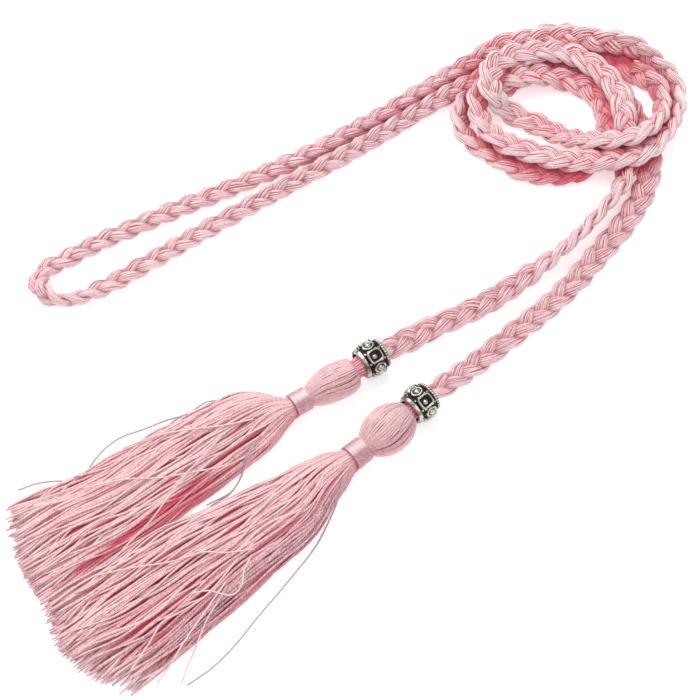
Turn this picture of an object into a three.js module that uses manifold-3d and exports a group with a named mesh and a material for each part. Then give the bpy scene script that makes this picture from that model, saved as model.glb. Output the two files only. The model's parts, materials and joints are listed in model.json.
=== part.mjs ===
// A belt of three bundles of yarn braided flat, folded once and laid in three loose turns.
// Each end runs through a large-hole metal bead into a tassel whose head is bound with thread.
// Millimetres, +Z up. The belt lies on the plane z = 0, with the origin in the middle below it.
import * as THREE from "three";
import { mergeVertices } from "three/addons/utils/BufferGeometryUtils.js";
import Module from "manifold-3d";

// Place on the laid plan below that becomes the origin.
const PLAN_MIDDLE = [2.5, 3.6];

// The braid: its thickness, the pitch of the lobes along one edge, how far an edge is drawn in
// between two lobes, and how much thicker it is on the side of a lobe.
const BRAID_THICK = 4.6;
const LOBE_PITCH = 7.4;
const EDGE_DENT = 0.13;
const LOBE_SWELL = 0.12;
const BRAID_SIDES = 8;

// The beads: barrels with a large hole and a ring of raised ornaments.
const BEAD_LENGTH = 9;
const BEAD_HEIGHT = 6.3;
const HOLE_RADIUS = 3.9;
const BEAD_SIDES = 16;
const ORNAMENTS = 8;

// The tassels' heads: the sides, the depth of the grooves between them, the radius of the neck that
// goes up into the bead, and the binding's wall and its play on the head.
const HEAD_SIDES = 16;
const HEAD_GROOVE = 0.05;
const NECK_RADIUS = 3;
const BINDING_WALL = 0.55;
const BINDING_PLAY = 0.3;

// The skirts: how many locks, how far each one overlaps the next, how much lower the outer ones
// are, and the play between the two skirts.
const LOCKS = 8;
const LOCK_OVERLAP = 1.35;
const LOCK_DOME = 0.75;
const SKIRT_PLAY = 0.5;

// Route of the middle of the braid, from bead 1 round to bead 2: where it runs on the plan, the
// height of its middle, how far it is turned about its own direction, and its width there. It turns
// over in the fold and back again under the coil, where it is bunched up.
// x, y, z, turn in degrees, width
const ROUTE = [
  // end 1
  [6.5, -7, 6.4, 0, 6], [11, -4, 6.1, 0, 6.2],
  // run 1
  [16, 0, 4.2, 0, 7.4], [21, 3.5, 2.5, 0, 8.4], [27.5, 7.5, 2.3, 0, 8.5], [35.5, 11.5, 2.3, 0, 8.5],
  [44.5, 16.5, 2.3, 0, 8.5], [54.5, 23.5, 2.6, -10, 8.5], [60.5, 28, 3.1, -25, 8.5],
  [67.5, 33.5, 3.9, -50, 8.5], [74, 39.5, 4.2, -70, 8.5], [80.5, 46.5, 4.3, -75, 8.5],
  [86.5, 54, 4.2, -70, 8.5], [91, 60, 4, -60, 8.5], [93.5, 66.5, 3.4, -45, 8.5],
  [94.5, 72, 2.8, -15, 8.5],
  // middle 1
  [94.5, 77.5, 4.4, -5, 8.4], [94.5, 83, 6.3, -5, 8.5], [94, 89, 7.4, -5, 8.5],
  [92.5, 96.5, 8, -5, 8.5], [89.5, 102.5, 8, -5, 8.5], [86, 107.5, 7.8, 0, 8.5],
  [80.5, 112, 7.4, 0, 8.5], [75.5, 114.5, 7.7, 0, 8.5], [68, 114.5, 8.8, 0, 8.5],
  [61, 113, 9.9, 0, 8.5], [54.5, 110.5, 10.6, -5, 8.5], [50, 106.5, 12.2, -20, 8.5],
  // left 3
  [48, 102, 12.9, -30, 8.5], [48, 97, 12.2, -25, 8.5], [51, 93.5, 8.2, -10, 8.5],
  [54.5, 92.5, 4, 0, 8.5], [59.5, 90.5, 2.4, 0, 8.5], [65, 88, 2.3, 0, 8.5], [72.5, 83.5, 2.6, -5, 8.5],
  [78, 80, 5.5, -15, 8.5],
  // strand 1
  [84.5, 77.5, 8.7, -20, 8.5], [92, 77, 10.1, -30, 8.5], [98, 78.5, 10.8, -35, 8.5],
  [103.5, 83.5, 9.3, -50, 8.5],
  // outer 2
  [106.5, 89, 6.6, -60, 8.5], [107.5, 96.5, 4.2, -65, 8.5], [106.5, 102.5, 4.1, -65, 8.5],
  [103.5, 106, 4, -55, 8.5], [99.5, 109, 3, -25, 8.5], [96, 112, 2.3, 0, 8.5], [91, 116.5, 2.3, 0, 8.5],
  [86, 121.5, 2.3, 0, 8.5], [79, 125.5, 2.3, 0, 8.5], [71.5, 126.5, 2.3, 0, 8.5],
  [64.5, 124.5, 2.3, 0, 8.5],
  // run B
  [59, 118.5, 2.3, 0, 8], [54, 112.5, 2.3, -5, 7.6], [49, 109.5, 2.4, -5, 7.2],
  [42, 105.5, 2.4, -10, 7], [34.5, 101, 2.7, -20, 6.8], [27, 95.5, 2.9, -25, 6.6],
  [4, 79, 2.9, -25, 6.6], [-16.5, 66, 2.6, -20, 6.6], [-37, 53, 2.4, -5, 6.6], [-56.5, 40, 2.3, 0, 6.6],
  [-70.5, 30.5, 2.3, 0, 6.6], [-82.5, 22.5, 2.5, 10, 6.6], [-93.5, 17.5, 2.9, 35, 6.6],
  [-99.5, 17.5, 3.1, 55, 6.6],
  // fold
  [-104, 20.5, 3.3, 75, 6.6], [-105.5, 24, 3.3, 90, 6.6], [-104.5, 27, 3.2, 110, 6.6],
  // run A
  [-102.5, 30, 3, 135, 6.6], [-97, 32.5, 2.6, 160, 6.6], [-86, 39.5, 2.3, 180, 6.6],
  [-58, 54, 2.3, 180, 6.6], [-36, 64.5, 2.3, 180, 6.6], [-11, 78, 2.3, 180, 6.6],
  [0.5, 85.5, 2.3, 180, 6.6], [13, 93.5, 2.3, 180, 6.6], [22.5, 100.5, 2.3, 180, 6.8],
  [34.5, 109, 2.3, 180, 7], [42, 114, 2.4, 185, 7.2], [47, 117, 3.2, 190, 7.6], [51, 119, 5.2, 195, 8],
  [55.5, 119, 7.2, 200, 8.4], [61.5, 120, 7.5, 205, 8.5],
  // outer 1
  [68.5, 121.5, 6.4, 210, 8.5], [74.5, 122, 6.8, 215, 8.5], [80.5, 121, 7.6, 220, 8.5],
  [87.5, 119, 8.7, 225, 8.5], [95.5, 118, 8.3, 235, 8.5], [101.5, 116, 6.4, 245, 8.5],
  [106.5, 112, 4.4, 250, 8.5], [110, 108.5, 4.2, 255, 8.5], [113, 102, 4.2, 255, 8.5],
  [113.5, 97, 4.2, 255, 8.5], [112.5, 91.5, 4.2, 255, 8.5], [110.5, 87, 4.9, 245, 8.5],
  [108, 82, 7.2, 230, 8.5],
  // strand 2
  [103.5, 76, 8, 210, 8.5], [99, 72.5, 8.1, 195, 8.5], [92, 71, 7.6, 185, 8.5],
  [84.5, 70, 7.1, 180, 8.5], [77, 70, 7.2, 180, 8.5], [70, 71, 7.2, 180, 8.5],
  [62.5, 73.5, 7.2, 180, 8.5], [56, 76, 7.2, 180, 8.5], [51, 79, 6.9, 190, 8.5],
  // left 2
  [47, 83.5, 6.6, 205, 8.5], [45, 87, 6.8, 215, 8.5], [44, 91, 7, 215, 8.5],
  [44.5, 96.5, 7.6, 205, 8.5], [47, 100, 7.7, 190, 8.5],
  // middle 2
  [50.5, 102, 7.5, 180, 8.5], [55.5, 104, 7.6, 180, 8.5], [60, 105, 7.6, 180, 8.5],
  [66, 106, 6.6, 180, 8.5], [73, 106, 4, 180, 8.5], [79, 104.5, 3, 190, 8.5], [83, 102, 3.2, 200, 8.5],
  [86, 98.5, 3.1, 200, 8.4], [88, 92.5, 2.6, 190, 8.4], [88.5, 86.5, 2.4, 185, 8.5],
  [87, 80.5, 2.3, 180, 8.4], [85, 75, 2.3, 180, 8.4],
  // strand 3
  [80.5, 71, 2.3, 180, 8.5], [75, 68.5, 2.3, 180, 8.5], [67.5, 68, 2.3, 180, 8.5],
  [60, 69, 2.3, 180, 8.5], [53.5, 73, 2.3, 180, 8.5], [47, 77, 2.6, 190, 8.5],
  // left 1
  [41, 81, 3.3, 210, 8.5], [38.5, 85, 3.7, 225, 8.5], [37.5, 88, 3.9, 230, 8.5],
  [38.5, 92.5, 3.8, 230, 8.5], [39.5, 96, 3.7, 225, 8.5], [43, 97.5, 3, 205, 8.4],
  [48, 99.5, 2.7, 200, 7],
  // middle 3
  [54, 102.5, 2.6, 240, 5.4], [59, 105.5, 2.6, 285, 5], [64.5, 111, 2.6, 330, 5.8],
  [73, 114.5, 2.3, 360, 8.5], [80, 113.5, 2.3, 360, 8.4], [85.5, 110, 2.3, 360, 8.2],
  [89.5, 106.5, 2.3, 360, 8.2], [94, 101, 2.3, 360, 8.4], [97, 94, 2.3, 360, 8.5],
  [99, 88, 2.3, 360, 8.5], [101.5, 81, 2.3, 360, 8.5],
  // run 2
  [102.5, 74, 2.5, 370, 8.5], [101.5, 66.5, 2.5, 370, 8.5], [98.5, 58, 2.3, 360, 8.5],
  [94, 50, 2.3, 360, 8.5], [89, 43, 2.3, 360, 8.5], [82.5, 34.5, 2.3, 360, 8.5],
  [77, 27.5, 2.3, 360, 8.5], [70, 19.5, 2.3, 360, 8.5], [61.5, 11.5, 2.3, 360, 8.5],
  [51.5, 2.5, 2.3, 360, 8.5], [42, -6, 2.5, 360, 8.3], [35.5, -12, 4, 360, 7.4],
  // end 2
  [30, -17, 5.6, 360, 6.4], [26.5, -20, 6.1, 360, 6.2], [22.5, -24, 6.4, 360, 6],
];

// Beads: the middle on the plan, the direction of the hole and the turn about it, in degrees.
const BEADS = [
  { name: "bead_1", x: 6.9, y: -6.9, heading: 34, spin: 24 },
  { name: "bead_2", x: 22.6, y: -23.6, heading: 43, spin: 28 },
];

// Tassels: the axis from the top of the head to the far end of the binding, how far it bows
// between them, the length of neck above it, the heads' outlines and the skirts. A head's row holds
// a distance from its top and the radius there, and the last two rows are the waist under the
// binding. A skirt's row holds a distance from the binding, the skirt's two edges to the side of
// its middle, its height and its underside. A tip's row holds a distance and the place to the side.
const TASSELS = [
  {
    number: 1,
    top: [1.1, -11.3, 6.2], waist: [-19, -23.9, 4.7], bow: [0, -0.4, 0.4], neck: 6,
    // from the top, radius
    head: [[0, 4.5], [1.2, 5], [4, 5.8], [8, 6.1], [12, 5.5], [15.2, 4.4], [17.2, 3.3], [23.9, 3.3]],
    skirtHeading: 212.8,
    // from the binding, one edge, other edge, height, underside
    skirt: [
      [1.5, -3.6, 4.4, 8.2, 2.4], [5, -5, 9.2, 8.8, -0.5], [12, -7.6, 14.2, 8.6, -0.5],
      [24, -9.4, 16, 8, -0.5], [42, -12, 17.2, 7.2, -0.5], [62, -14, 16.8, 6.6, -0.5],
      [82, -13.6, 18.3, 5.8, -0.5],
    ],
    tips: [[103, -17.5], [104.5, -11], [104, -2], [102, 7], [96, 19]],
    colour: 0xe9b4ba,
  },
  {
    number: 2,
    top: [18.7, -27.3, 6.4], waist: [-0.6, -43.7, 5], bow: [0.3, -0.9, 1.5], neck: 4.6,
    head: [[0, 4.2], [2, 5.8], [5, 7.3], [9, 7.9], [13, 7.2], [16.2, 5.4], [18.4, 3.7], [25.1, 3.7]],
    skirtHeading: 219.3,
    skirt: [
      [1.5, -4.2, 4.8, 9, 2.4], [5, -5.8, 7, 9.4, -0.5], [12, -8, 9, 9.4, -0.5],
      [24, -12.8, 11.4, 8.8, -0.5], [42, -15.4, 15, 8, -0.5], [62, -17.4, 19.2, 7, -0.5],
      [84, -18.4, 21.6, 6.2, -0.5],
    ],
    tips: [[100, -19.5], [107, -11], [110.5, -2], [111, 8], [106, 22.5]],
    colour: 0xe6b0b8,
  },
];

const wasm = await Module();
wasm.setup();

// Signed volume of a closed geometry, negative where its faces point in.
function volumeOf(geometry) {
  const at = geometry.attributes.position;
  const index = geometry.index.array;
  const [a, b, c] = [new THREE.Vector3(), new THREE.Vector3(), new THREE.Vector3()];
  let sum = 0;
  for (let i = 0; i < index.length; i += 3) {
    a.fromBufferAttribute(at, index[i]);
    b.fromBufferAttribute(at, index[i + 1]);
    c.fromBufferAttribute(at, index[i + 2]);
    sum += a.dot(b.cross(c)) / 6;
  }
  return sum;
}

// Merges shared corners, drops the empty faces at a pole and turns all faces outwards.
function closed(geometry) {
  geometry.deleteAttribute("normal");
  geometry.deleteAttribute("uv");
  const merged = mergeVertices(geometry, 1e-4);
  const all = merged.index.array;
  const faces = [];
  for (let i = 0; i < all.length; i += 3) {
    const [a, b, c] = all.slice(i, i + 3);
    if (a !== b && b !== c && c !== a) faces.push([a, b, c]);
  }
  merged.setIndex(faces.flat());
  if (volumeOf(merged) < 0) merged.setIndex(faces.flatMap(([a, b, c]) => [b, a, c]));
  return merged;
}

function toManifold(geometry) {
  const shape = closed(geometry);
  return new wasm.Manifold(new wasm.Mesh({
    numProp: 3,
    vertProperties: Float32Array.from(shape.attributes.position.array),
    triVerts: Uint32Array.from(shape.index.array),
  }));
}

function fromManifold(manifold) {
  const mesh = manifold.getMesh();
  const geometry = new THREE.BufferGeometry();
  geometry.setAttribute("position", new THREE.BufferAttribute(mesh.vertProperties, 3));
  geometry.setIndex(new THREE.BufferAttribute(mesh.triVerts, 1));
  return geometry;
}

// One solid through a row of rings that have the same number of corners, closed by flat ends.
function loft(rings) {
  const sides = rings[0].length;
  const corners = rings.flat();
  const faces = [];
  for (let i = 0; i + 1 < rings.length; i++) {
    for (let k = 0; k < sides; k++) {
      const a = i * sides + k;
      const b = i * sides + (k + 1) % sides;
      faces.push(a, b, b + sides, a, b + sides, a + sides);
    }
  }
  const last = corners.length - sides;
  for (let k = 1; k + 1 < sides; k++) {
    faces.push(0, k + 1, k);
    faces.push(last, last + k, last + k + 1);
  }
  const geometry = new THREE.BufferGeometry().setFromPoints(corners);
  geometry.setIndex(faces);
  return closed(geometry);
}

function piece(name, geometry, colour, roughness, metalness) {
  const material = new THREE.MeshStandardMaterial({ color: colour, roughness, metalness });
  const mesh = new THREE.Mesh(geometry, material);
  mesh.name = name;
  return mesh;
}

// Corners of the braid's section, which is thick and wide on one side and drawn in on the other,
// and flattened where it rests.
function braidRing(centre, across, upward, width, lobeSide) {
  return Array.from({ length: BRAID_SIDES }, (_, k) => {
    const angle = 2 * Math.PI * k / BRAID_SIDES;
    const toLobe = lobeSide * Math.cos(angle);
    const reach = (width / 2) * Math.cos(angle) * (toLobe < 0 ? 1 - EDGE_DENT : 1);
    const height = (BRAID_THICK / 2) * Math.sin(angle) * (1 + LOBE_SWELL * toLobe);
    const corner = centre.clone().addScaledVector(across, reach).addScaledVector(upward, height);
    corner.z = Math.max(corner.z, 0);
    return corner;
  });
}

// The braid is level across its width, apart from the turn about its own direction.
function makeBraid() {
  const points = ROUTE.map(([x, y, z]) => new THREE.Vector3(x, y, z));
  const curve = new THREE.CatmullRomCurve3(points, false, "centripetal");
  curve.arcLengthDivisions = 20 * points.length;
  const count = Math.round(curve.getLength() / (LOBE_PITCH / 2));
  const rings = [];
  for (let i = 0; i <= count; i++) {
    const t = curve.getUtoTmapping(i / count);
    const place = t * (ROUTE.length - 1);
    const row = Math.min(Math.floor(place), ROUTE.length - 2);
    const between = (column) => THREE.MathUtils.lerp(ROUTE[row][column], ROUTE[row + 1][column], place - row);
    const along = curve.getTangent(t);
    const level = new THREE.Vector3(-along.y, along.x, 0).normalize();
    const turn = THREE.MathUtils.degToRad(between(3));
    const across = level.clone().applyAxisAngle(along, turn);
    const upward = along.clone().cross(across);
    rings.push(braidRing(curve.getPoint(t), across, upward, between(4), i % 2 ? 1 : -1));
  }
  return piece("braid", loft(rings), 0xeab6bb, 0.6, 0);
}

// A turned shape from rows of [radius, distance along +Y].
function turned(rows, sides) {
  return new THREE.LatheGeometry(rows.map(([r, y]) => new THREE.Vector2(r, y)), sides);
}

// An ornament stands out from the bead's belly along +Y: a knob in a ring, or a square frame.
function ornament(square) {
  const wide = square ? 2.25 : 1.85;
  const rows = [
    [0, 4.8], [wide, 4.8], [wide, 5.9], [wide - 0.3, 6.1], [wide - 0.7, 6.1],
    [wide - 0.8, 5.75], [wide * 0.3, square ? 5.75 : 6.2], [0, 6.25],
  ];
  const shape = turned(rows, square ? 4 : 6);
  shape.rotateY(square ? Math.PI / 4 : 0);
  return toManifold(shape);
}

function makeBead({ name, x, y, heading, spin }) {
  const half = BEAD_LENGTH / 2;
  let bead = toManifold(turned([
    [HOLE_RADIUS, -half + 0.3], [4.2, -half], [5, -half], [5.4, -half + 0.7], [5.1, -half + 1.3],
    [5.7, -1.4], [5.7, 1.4], [5.1, half - 1.3], [5.2, half - 0.6], [4.9, half], [4.2, half],
    [HOLE_RADIUS, half - 0.3], [HOLE_RADIUS, -half + 0.3],
  ], BEAD_SIDES));
  for (let i = 0; i < ORNAMENTS; i++) {
    const around = new THREE.Matrix4().makeRotationY(2 * Math.PI * i / ORNAMENTS);
    const outward = new THREE.Matrix4().makeRotationZ(Math.PI / 2);
    const place = around.multiply(outward);
    bead = bead.add(ornament(i % 2 === 0).transform(place.toArray()));
  }
  const mesh = piece(name, fromManifold(bead), 0x8d8a83, 0.35, 1);
  mesh.position.set(x, y, BEAD_HEIGHT);
  const [spinAngle, headingAngle] = [spin, heading - 90].map(THREE.MathUtils.degToRad);
  mesh.rotation.set(0, spinAngle, headingAngle, "ZYX");
  return mesh;
}

// Lays a shape turned about +Y along a tassel's axis, which bows between its two ends.
function laidAlong(geometry, { top, waist, bow }) {
  const start = new THREE.Vector3(...top);
  const way = new THREE.Vector3(...waist).sub(start);
  const length = way.length();
  const at = geometry.attributes.position;
  const share = Array.from({ length: at.count }, (_, i) => THREE.MathUtils.clamp(at.getY(i) / length, 0, 1));
  const lean = new THREE.Quaternion().setFromUnitVectors(new THREE.Vector3(0, 1, 0), way.normalize());
  geometry.applyQuaternion(lean);
  geometry.translate(...top);
  share.forEach((u, i) => {
    const bent = 4 * u * (1 - u);
    at.setXYZ(i, at.getX(i) + bow[0] * bent, at.getY(i) + bow[1] * bent, at.getZ(i) + bow[2] * bent);
  });
  return geometry;
}

// Head, neck and waist in one turned shape, with a groove between each two ridges of yarn.
function makeHead(tassel) {
  const bottom = tassel.head.at(-1);
  const rows = [
    [0, -tassel.neck], [NECK_RADIUS, -tassel.neck], [NECK_RADIUS, 0],
    ...tassel.head.map(([y, r]) => [r, y]), [0, bottom[0]],
  ];
  const shape = turned(rows, HEAD_SIDES);
  const at = shape.attributes.position;
  for (let i = 0; i < at.count; i++) {
    const side = Math.floor(i / rows.length) % HEAD_SIDES;
    const scale = side % 2 ? 1 - HEAD_GROOVE : 1;
    at.setX(i, at.getX(i) * scale);
    at.setZ(i, at.getZ(i) * scale);
  }
  return toManifold(laidAlong(shape, tassel));
}

function makeBinding(tassel) {
  const [from, radius] = tassel.head.at(-2);
  const to = tassel.head.at(-1)[0];
  const inner = radius + BINDING_PLAY;
  const outer = inner + BINDING_WALL;
  const rows = [
    [inner, from + BINDING_PLAY], [outer, from + BINDING_PLAY], [outer, to - BINDING_PLAY],
    [inner, to - BINDING_PLAY], [inner, from + BINDING_PLAY],
  ];
  const ring = laidAlong(turned(rows, HEAD_SIDES), tassel);
  return piece("binding_" + tassel.number, closed(ring), 0xe3a9b0, 0.4, 0);
}

// Distance from the binding at which the skirt ends, for a place across its width.
function tipAt(tips, side) {
  const next = tips.findIndex((tip, i) => i > 0 && side <= tip[1]);
  const i = next < 0 ? tips.length - 1 : next;
  const [a, b] = [tips[i - 1], tips[i]];
  const share = THREE.MathUtils.clamp((side - a[1]) / (b[1] - a[1]), 0, 1);
  return THREE.MathUtils.lerp(a[0], b[0], share);
}

// A lock's ring at a distance along the skirt: its middle to one side, width, top and underside.
function lockRing(tassel, distance, side, width, top, bottom) {
  const heading = THREE.MathUtils.degToRad(tassel.skirtHeading);
  const way = new THREE.Vector3(Math.cos(heading), Math.sin(heading), 0);
  const across = new THREE.Vector3(way.y, -way.x, 0);
  const middle = (top + bottom) / 2;
  const start = new THREE.Vector3(tassel.waist[0], tassel.waist[1], 0);
  return Array.from({ length: 6 }, (_, k) => {
    const angle = Math.PI * k / 3;
    const point = start.clone().addScaledVector(way, distance);
    point.addScaledVector(across, side + (width / 2) * Math.cos(angle));
    point.z = middle + (top - middle) * Math.sin(angle) / Math.sin(Math.PI / 3);
    return point;
  });
}

// A lock of the skirt. Its share runs from -1 at one edge of the skirt to 1 at the other.
function makeLock(tassel, number) {
  const share = (2 * number + 1) / LOCKS - 1;
  const waist = tassel.head.at(-1)[1];
  const dome = Math.sqrt(1 - LOCK_DOME * share * share);
  const rings = [];
  const reach = 0.55 * waist;
  rings.push(lockRing(tassel, -1.5, share * reach, reach, tassel.waist[2] + reach, tassel.waist[2] - reach));
  for (const [distance, low, high, height, under] of tassel.skirt) {
    const width = LOCK_OVERLAP * (high - low) / LOCKS;
    const side = THREE.MathUtils.lerp(low + width / 2, high - width / 2, (share * LOCKS / (LOCKS - 1) + 1) / 2);
    rings.push(lockRing(tassel, distance, side, width, height * dome, under));
  }
  const [low, high] = [tassel.tips[0][1], tassel.tips.at(-1)[1]];
  const width = 1.15 * (high - low) / LOCKS;
  const side = THREE.MathUtils.lerp(low + width / 2, high - width / 2, (share * LOCKS / (LOCKS - 1) + 1) / 2);
  const [, , , height, under] = tassel.skirt.at(-1);
  rings.push(lockRing(tassel, tipAt(tassel.tips, side), side, 0.8 * width, 0.75 * height * dome, under));
  return toManifold(loft(rings));
}

// A point of the plan beside a tassel's skirt.
function planPoint(tassel, distance, side) {
  const heading = THREE.MathUtils.degToRad(tassel.skirtHeading);
  const [wayX, wayY] = [Math.cos(heading), Math.sin(heading)];
  return new THREE.Vector2(
    tassel.waist[0] + wayX * distance + wayY * side,
    tassel.waist[1] + wayY * distance - wayX * side,
  );
}

// The room of a skirt on the plan, with play all round, as a tall block.
function skirtRoom(tassel) {
  const play = SKIRT_PLAY;
  const corners = [
    ...tassel.skirt.map(([distance, low]) => planPoint(tassel, distance, low - play)),
    ...tassel.tips.map(([distance, side]) => planPoint(tassel, distance + play, side)),
    ...tassel.skirt.toReversed().map(([distance, , high]) => planPoint(tassel, distance, high + play)),
  ];
  const block = new THREE.ExtrudeGeometry(new THREE.Shape(corners), { depth: 40, bevelEnabled: false });
  return toManifold(block.translate(0, 0, -10));
}

// Head and locks in one body, flattened where it rests and cut back beside a skirt that lies there.
function makeTassel(tassel, neighbour) {
  let body = makeHead(tassel);
  for (let i = 0; i < LOCKS; i++) {
    body = body.add(makeLock(tassel, i));
  }
  const floor = new THREE.BoxGeometry(600, 600, 20).translate(0, 0, -10);
  body = body.subtract(toManifold(floor));
  if (neighbour) body = body.subtract(skirtRoom(neighbour));
  return piece("tassel_" + tassel.number, fromManifold(body), tassel.colour, 0.6, 0);
}

const belt = new THREE.Group();
belt.position.set(-PLAN_MIDDLE[0], -PLAN_MIDDLE[1], 0);
belt.add(makeBraid());
BEADS.forEach((bead) => belt.add(makeBead(bead)));
const [first, second] = TASSELS;
belt.add(makeTassel(first, second), makeTassel(second), makeBinding(first), makeBinding(second));

export default belt;
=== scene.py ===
"""A flat braided belt of pink yarn, folded and coiled, with a metal bead and a tassel at each end."""
import json
import math
from collections import namedtuple

import bpy
import numpy as np
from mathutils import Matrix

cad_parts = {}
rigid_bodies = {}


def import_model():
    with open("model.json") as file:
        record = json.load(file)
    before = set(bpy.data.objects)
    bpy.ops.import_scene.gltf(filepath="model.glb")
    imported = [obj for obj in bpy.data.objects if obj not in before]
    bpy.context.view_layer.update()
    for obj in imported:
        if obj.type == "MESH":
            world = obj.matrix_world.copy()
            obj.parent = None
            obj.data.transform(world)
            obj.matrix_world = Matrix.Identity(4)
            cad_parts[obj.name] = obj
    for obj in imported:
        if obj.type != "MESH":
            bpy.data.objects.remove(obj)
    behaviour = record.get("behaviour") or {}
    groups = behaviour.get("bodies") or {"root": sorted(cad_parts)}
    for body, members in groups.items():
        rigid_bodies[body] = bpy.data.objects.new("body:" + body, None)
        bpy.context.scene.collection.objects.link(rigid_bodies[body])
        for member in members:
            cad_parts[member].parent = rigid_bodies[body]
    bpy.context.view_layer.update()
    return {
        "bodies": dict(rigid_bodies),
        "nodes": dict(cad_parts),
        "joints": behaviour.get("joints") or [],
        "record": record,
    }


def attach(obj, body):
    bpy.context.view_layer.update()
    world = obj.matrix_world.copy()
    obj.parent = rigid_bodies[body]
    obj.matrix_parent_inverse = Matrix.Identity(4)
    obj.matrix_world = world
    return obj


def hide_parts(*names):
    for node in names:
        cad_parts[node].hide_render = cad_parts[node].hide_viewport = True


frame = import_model()

MM = 0.001
# Place on the laid plan that is the origin, as in the CAD source, in millimetres.
PLAN_MIDDLE = np.array([2.5, 3.6, 0.0])
UP = np.array([0.0, 0.0, 1.0])
# Half the side of the floor, in metres.
FLOOR_HALF = 3.0

# The braid, in millimetres. A pitch is the length from one crossing to the next, and changes at
# RUN_LENGTH from either bead.
BRAID_THICK = 4.6
BRAID_WIDE = 8.5
RUN_PITCH = 8.0
COIL_PITCH = 7.4
RUN_LENGTH = 150.0
PITCH_CHANGE = 20.0
WIDER_BY_BEAD = 1.1
# A turn of the coil counts as another one when it is this far off along the braid.
TURN_APART = 22.0
# Between these places from the origin the run becomes the coil.
COIL_X = (30, 45)
COIL_Y = (52, 68)

# One of the braid's three strands: how far it swings out and up, and half its size. At the braid's
# edge, where it turns back, it is narrower and thicker.
STRAND_SWING = 2.45
STRAND_LIFT = 1.2
STRAND_HALF_WIDE = 2.45
STRAND_HALF_THICK = 1.1
EDGE_NARROWER = 0.6
EDGE_THICKER = 0.36
STRAND_STEP = 1.55
STRAND_YARNS = 24
STRAND_YARN = 0.5
CORE_INSET = 0.4
CORE_SIDES = 8

# The tassels, in millimetres.
HEAD_YARN = 0.54
HEAD_STEP = 0.8
HEAD_SIDES = 32
SKIRT_YARN = 0.92
SKIRT_LAYERS = 5
SKIRT_STEPS = 34
SKIRT_START = -4.0
SKIRT_CORE_END = 84.0
TIP_SECTION = 92.0
LAYER_DEPTH = 0.66
YARNS_ACROSS = 20
# At its sides a skirt's height is the square root of 1 less this, of that in its middle.
SKIRT_DOME = 0.75
GAP_END = 6.0
GAP_LAYERS = 3
STRAY_YARN = 0.55
STRAY_REACH = 1.3
BINDING_THREAD = 0.5
BINDING_EDGE = 0.3
BINDING_OUT = 0.85

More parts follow.
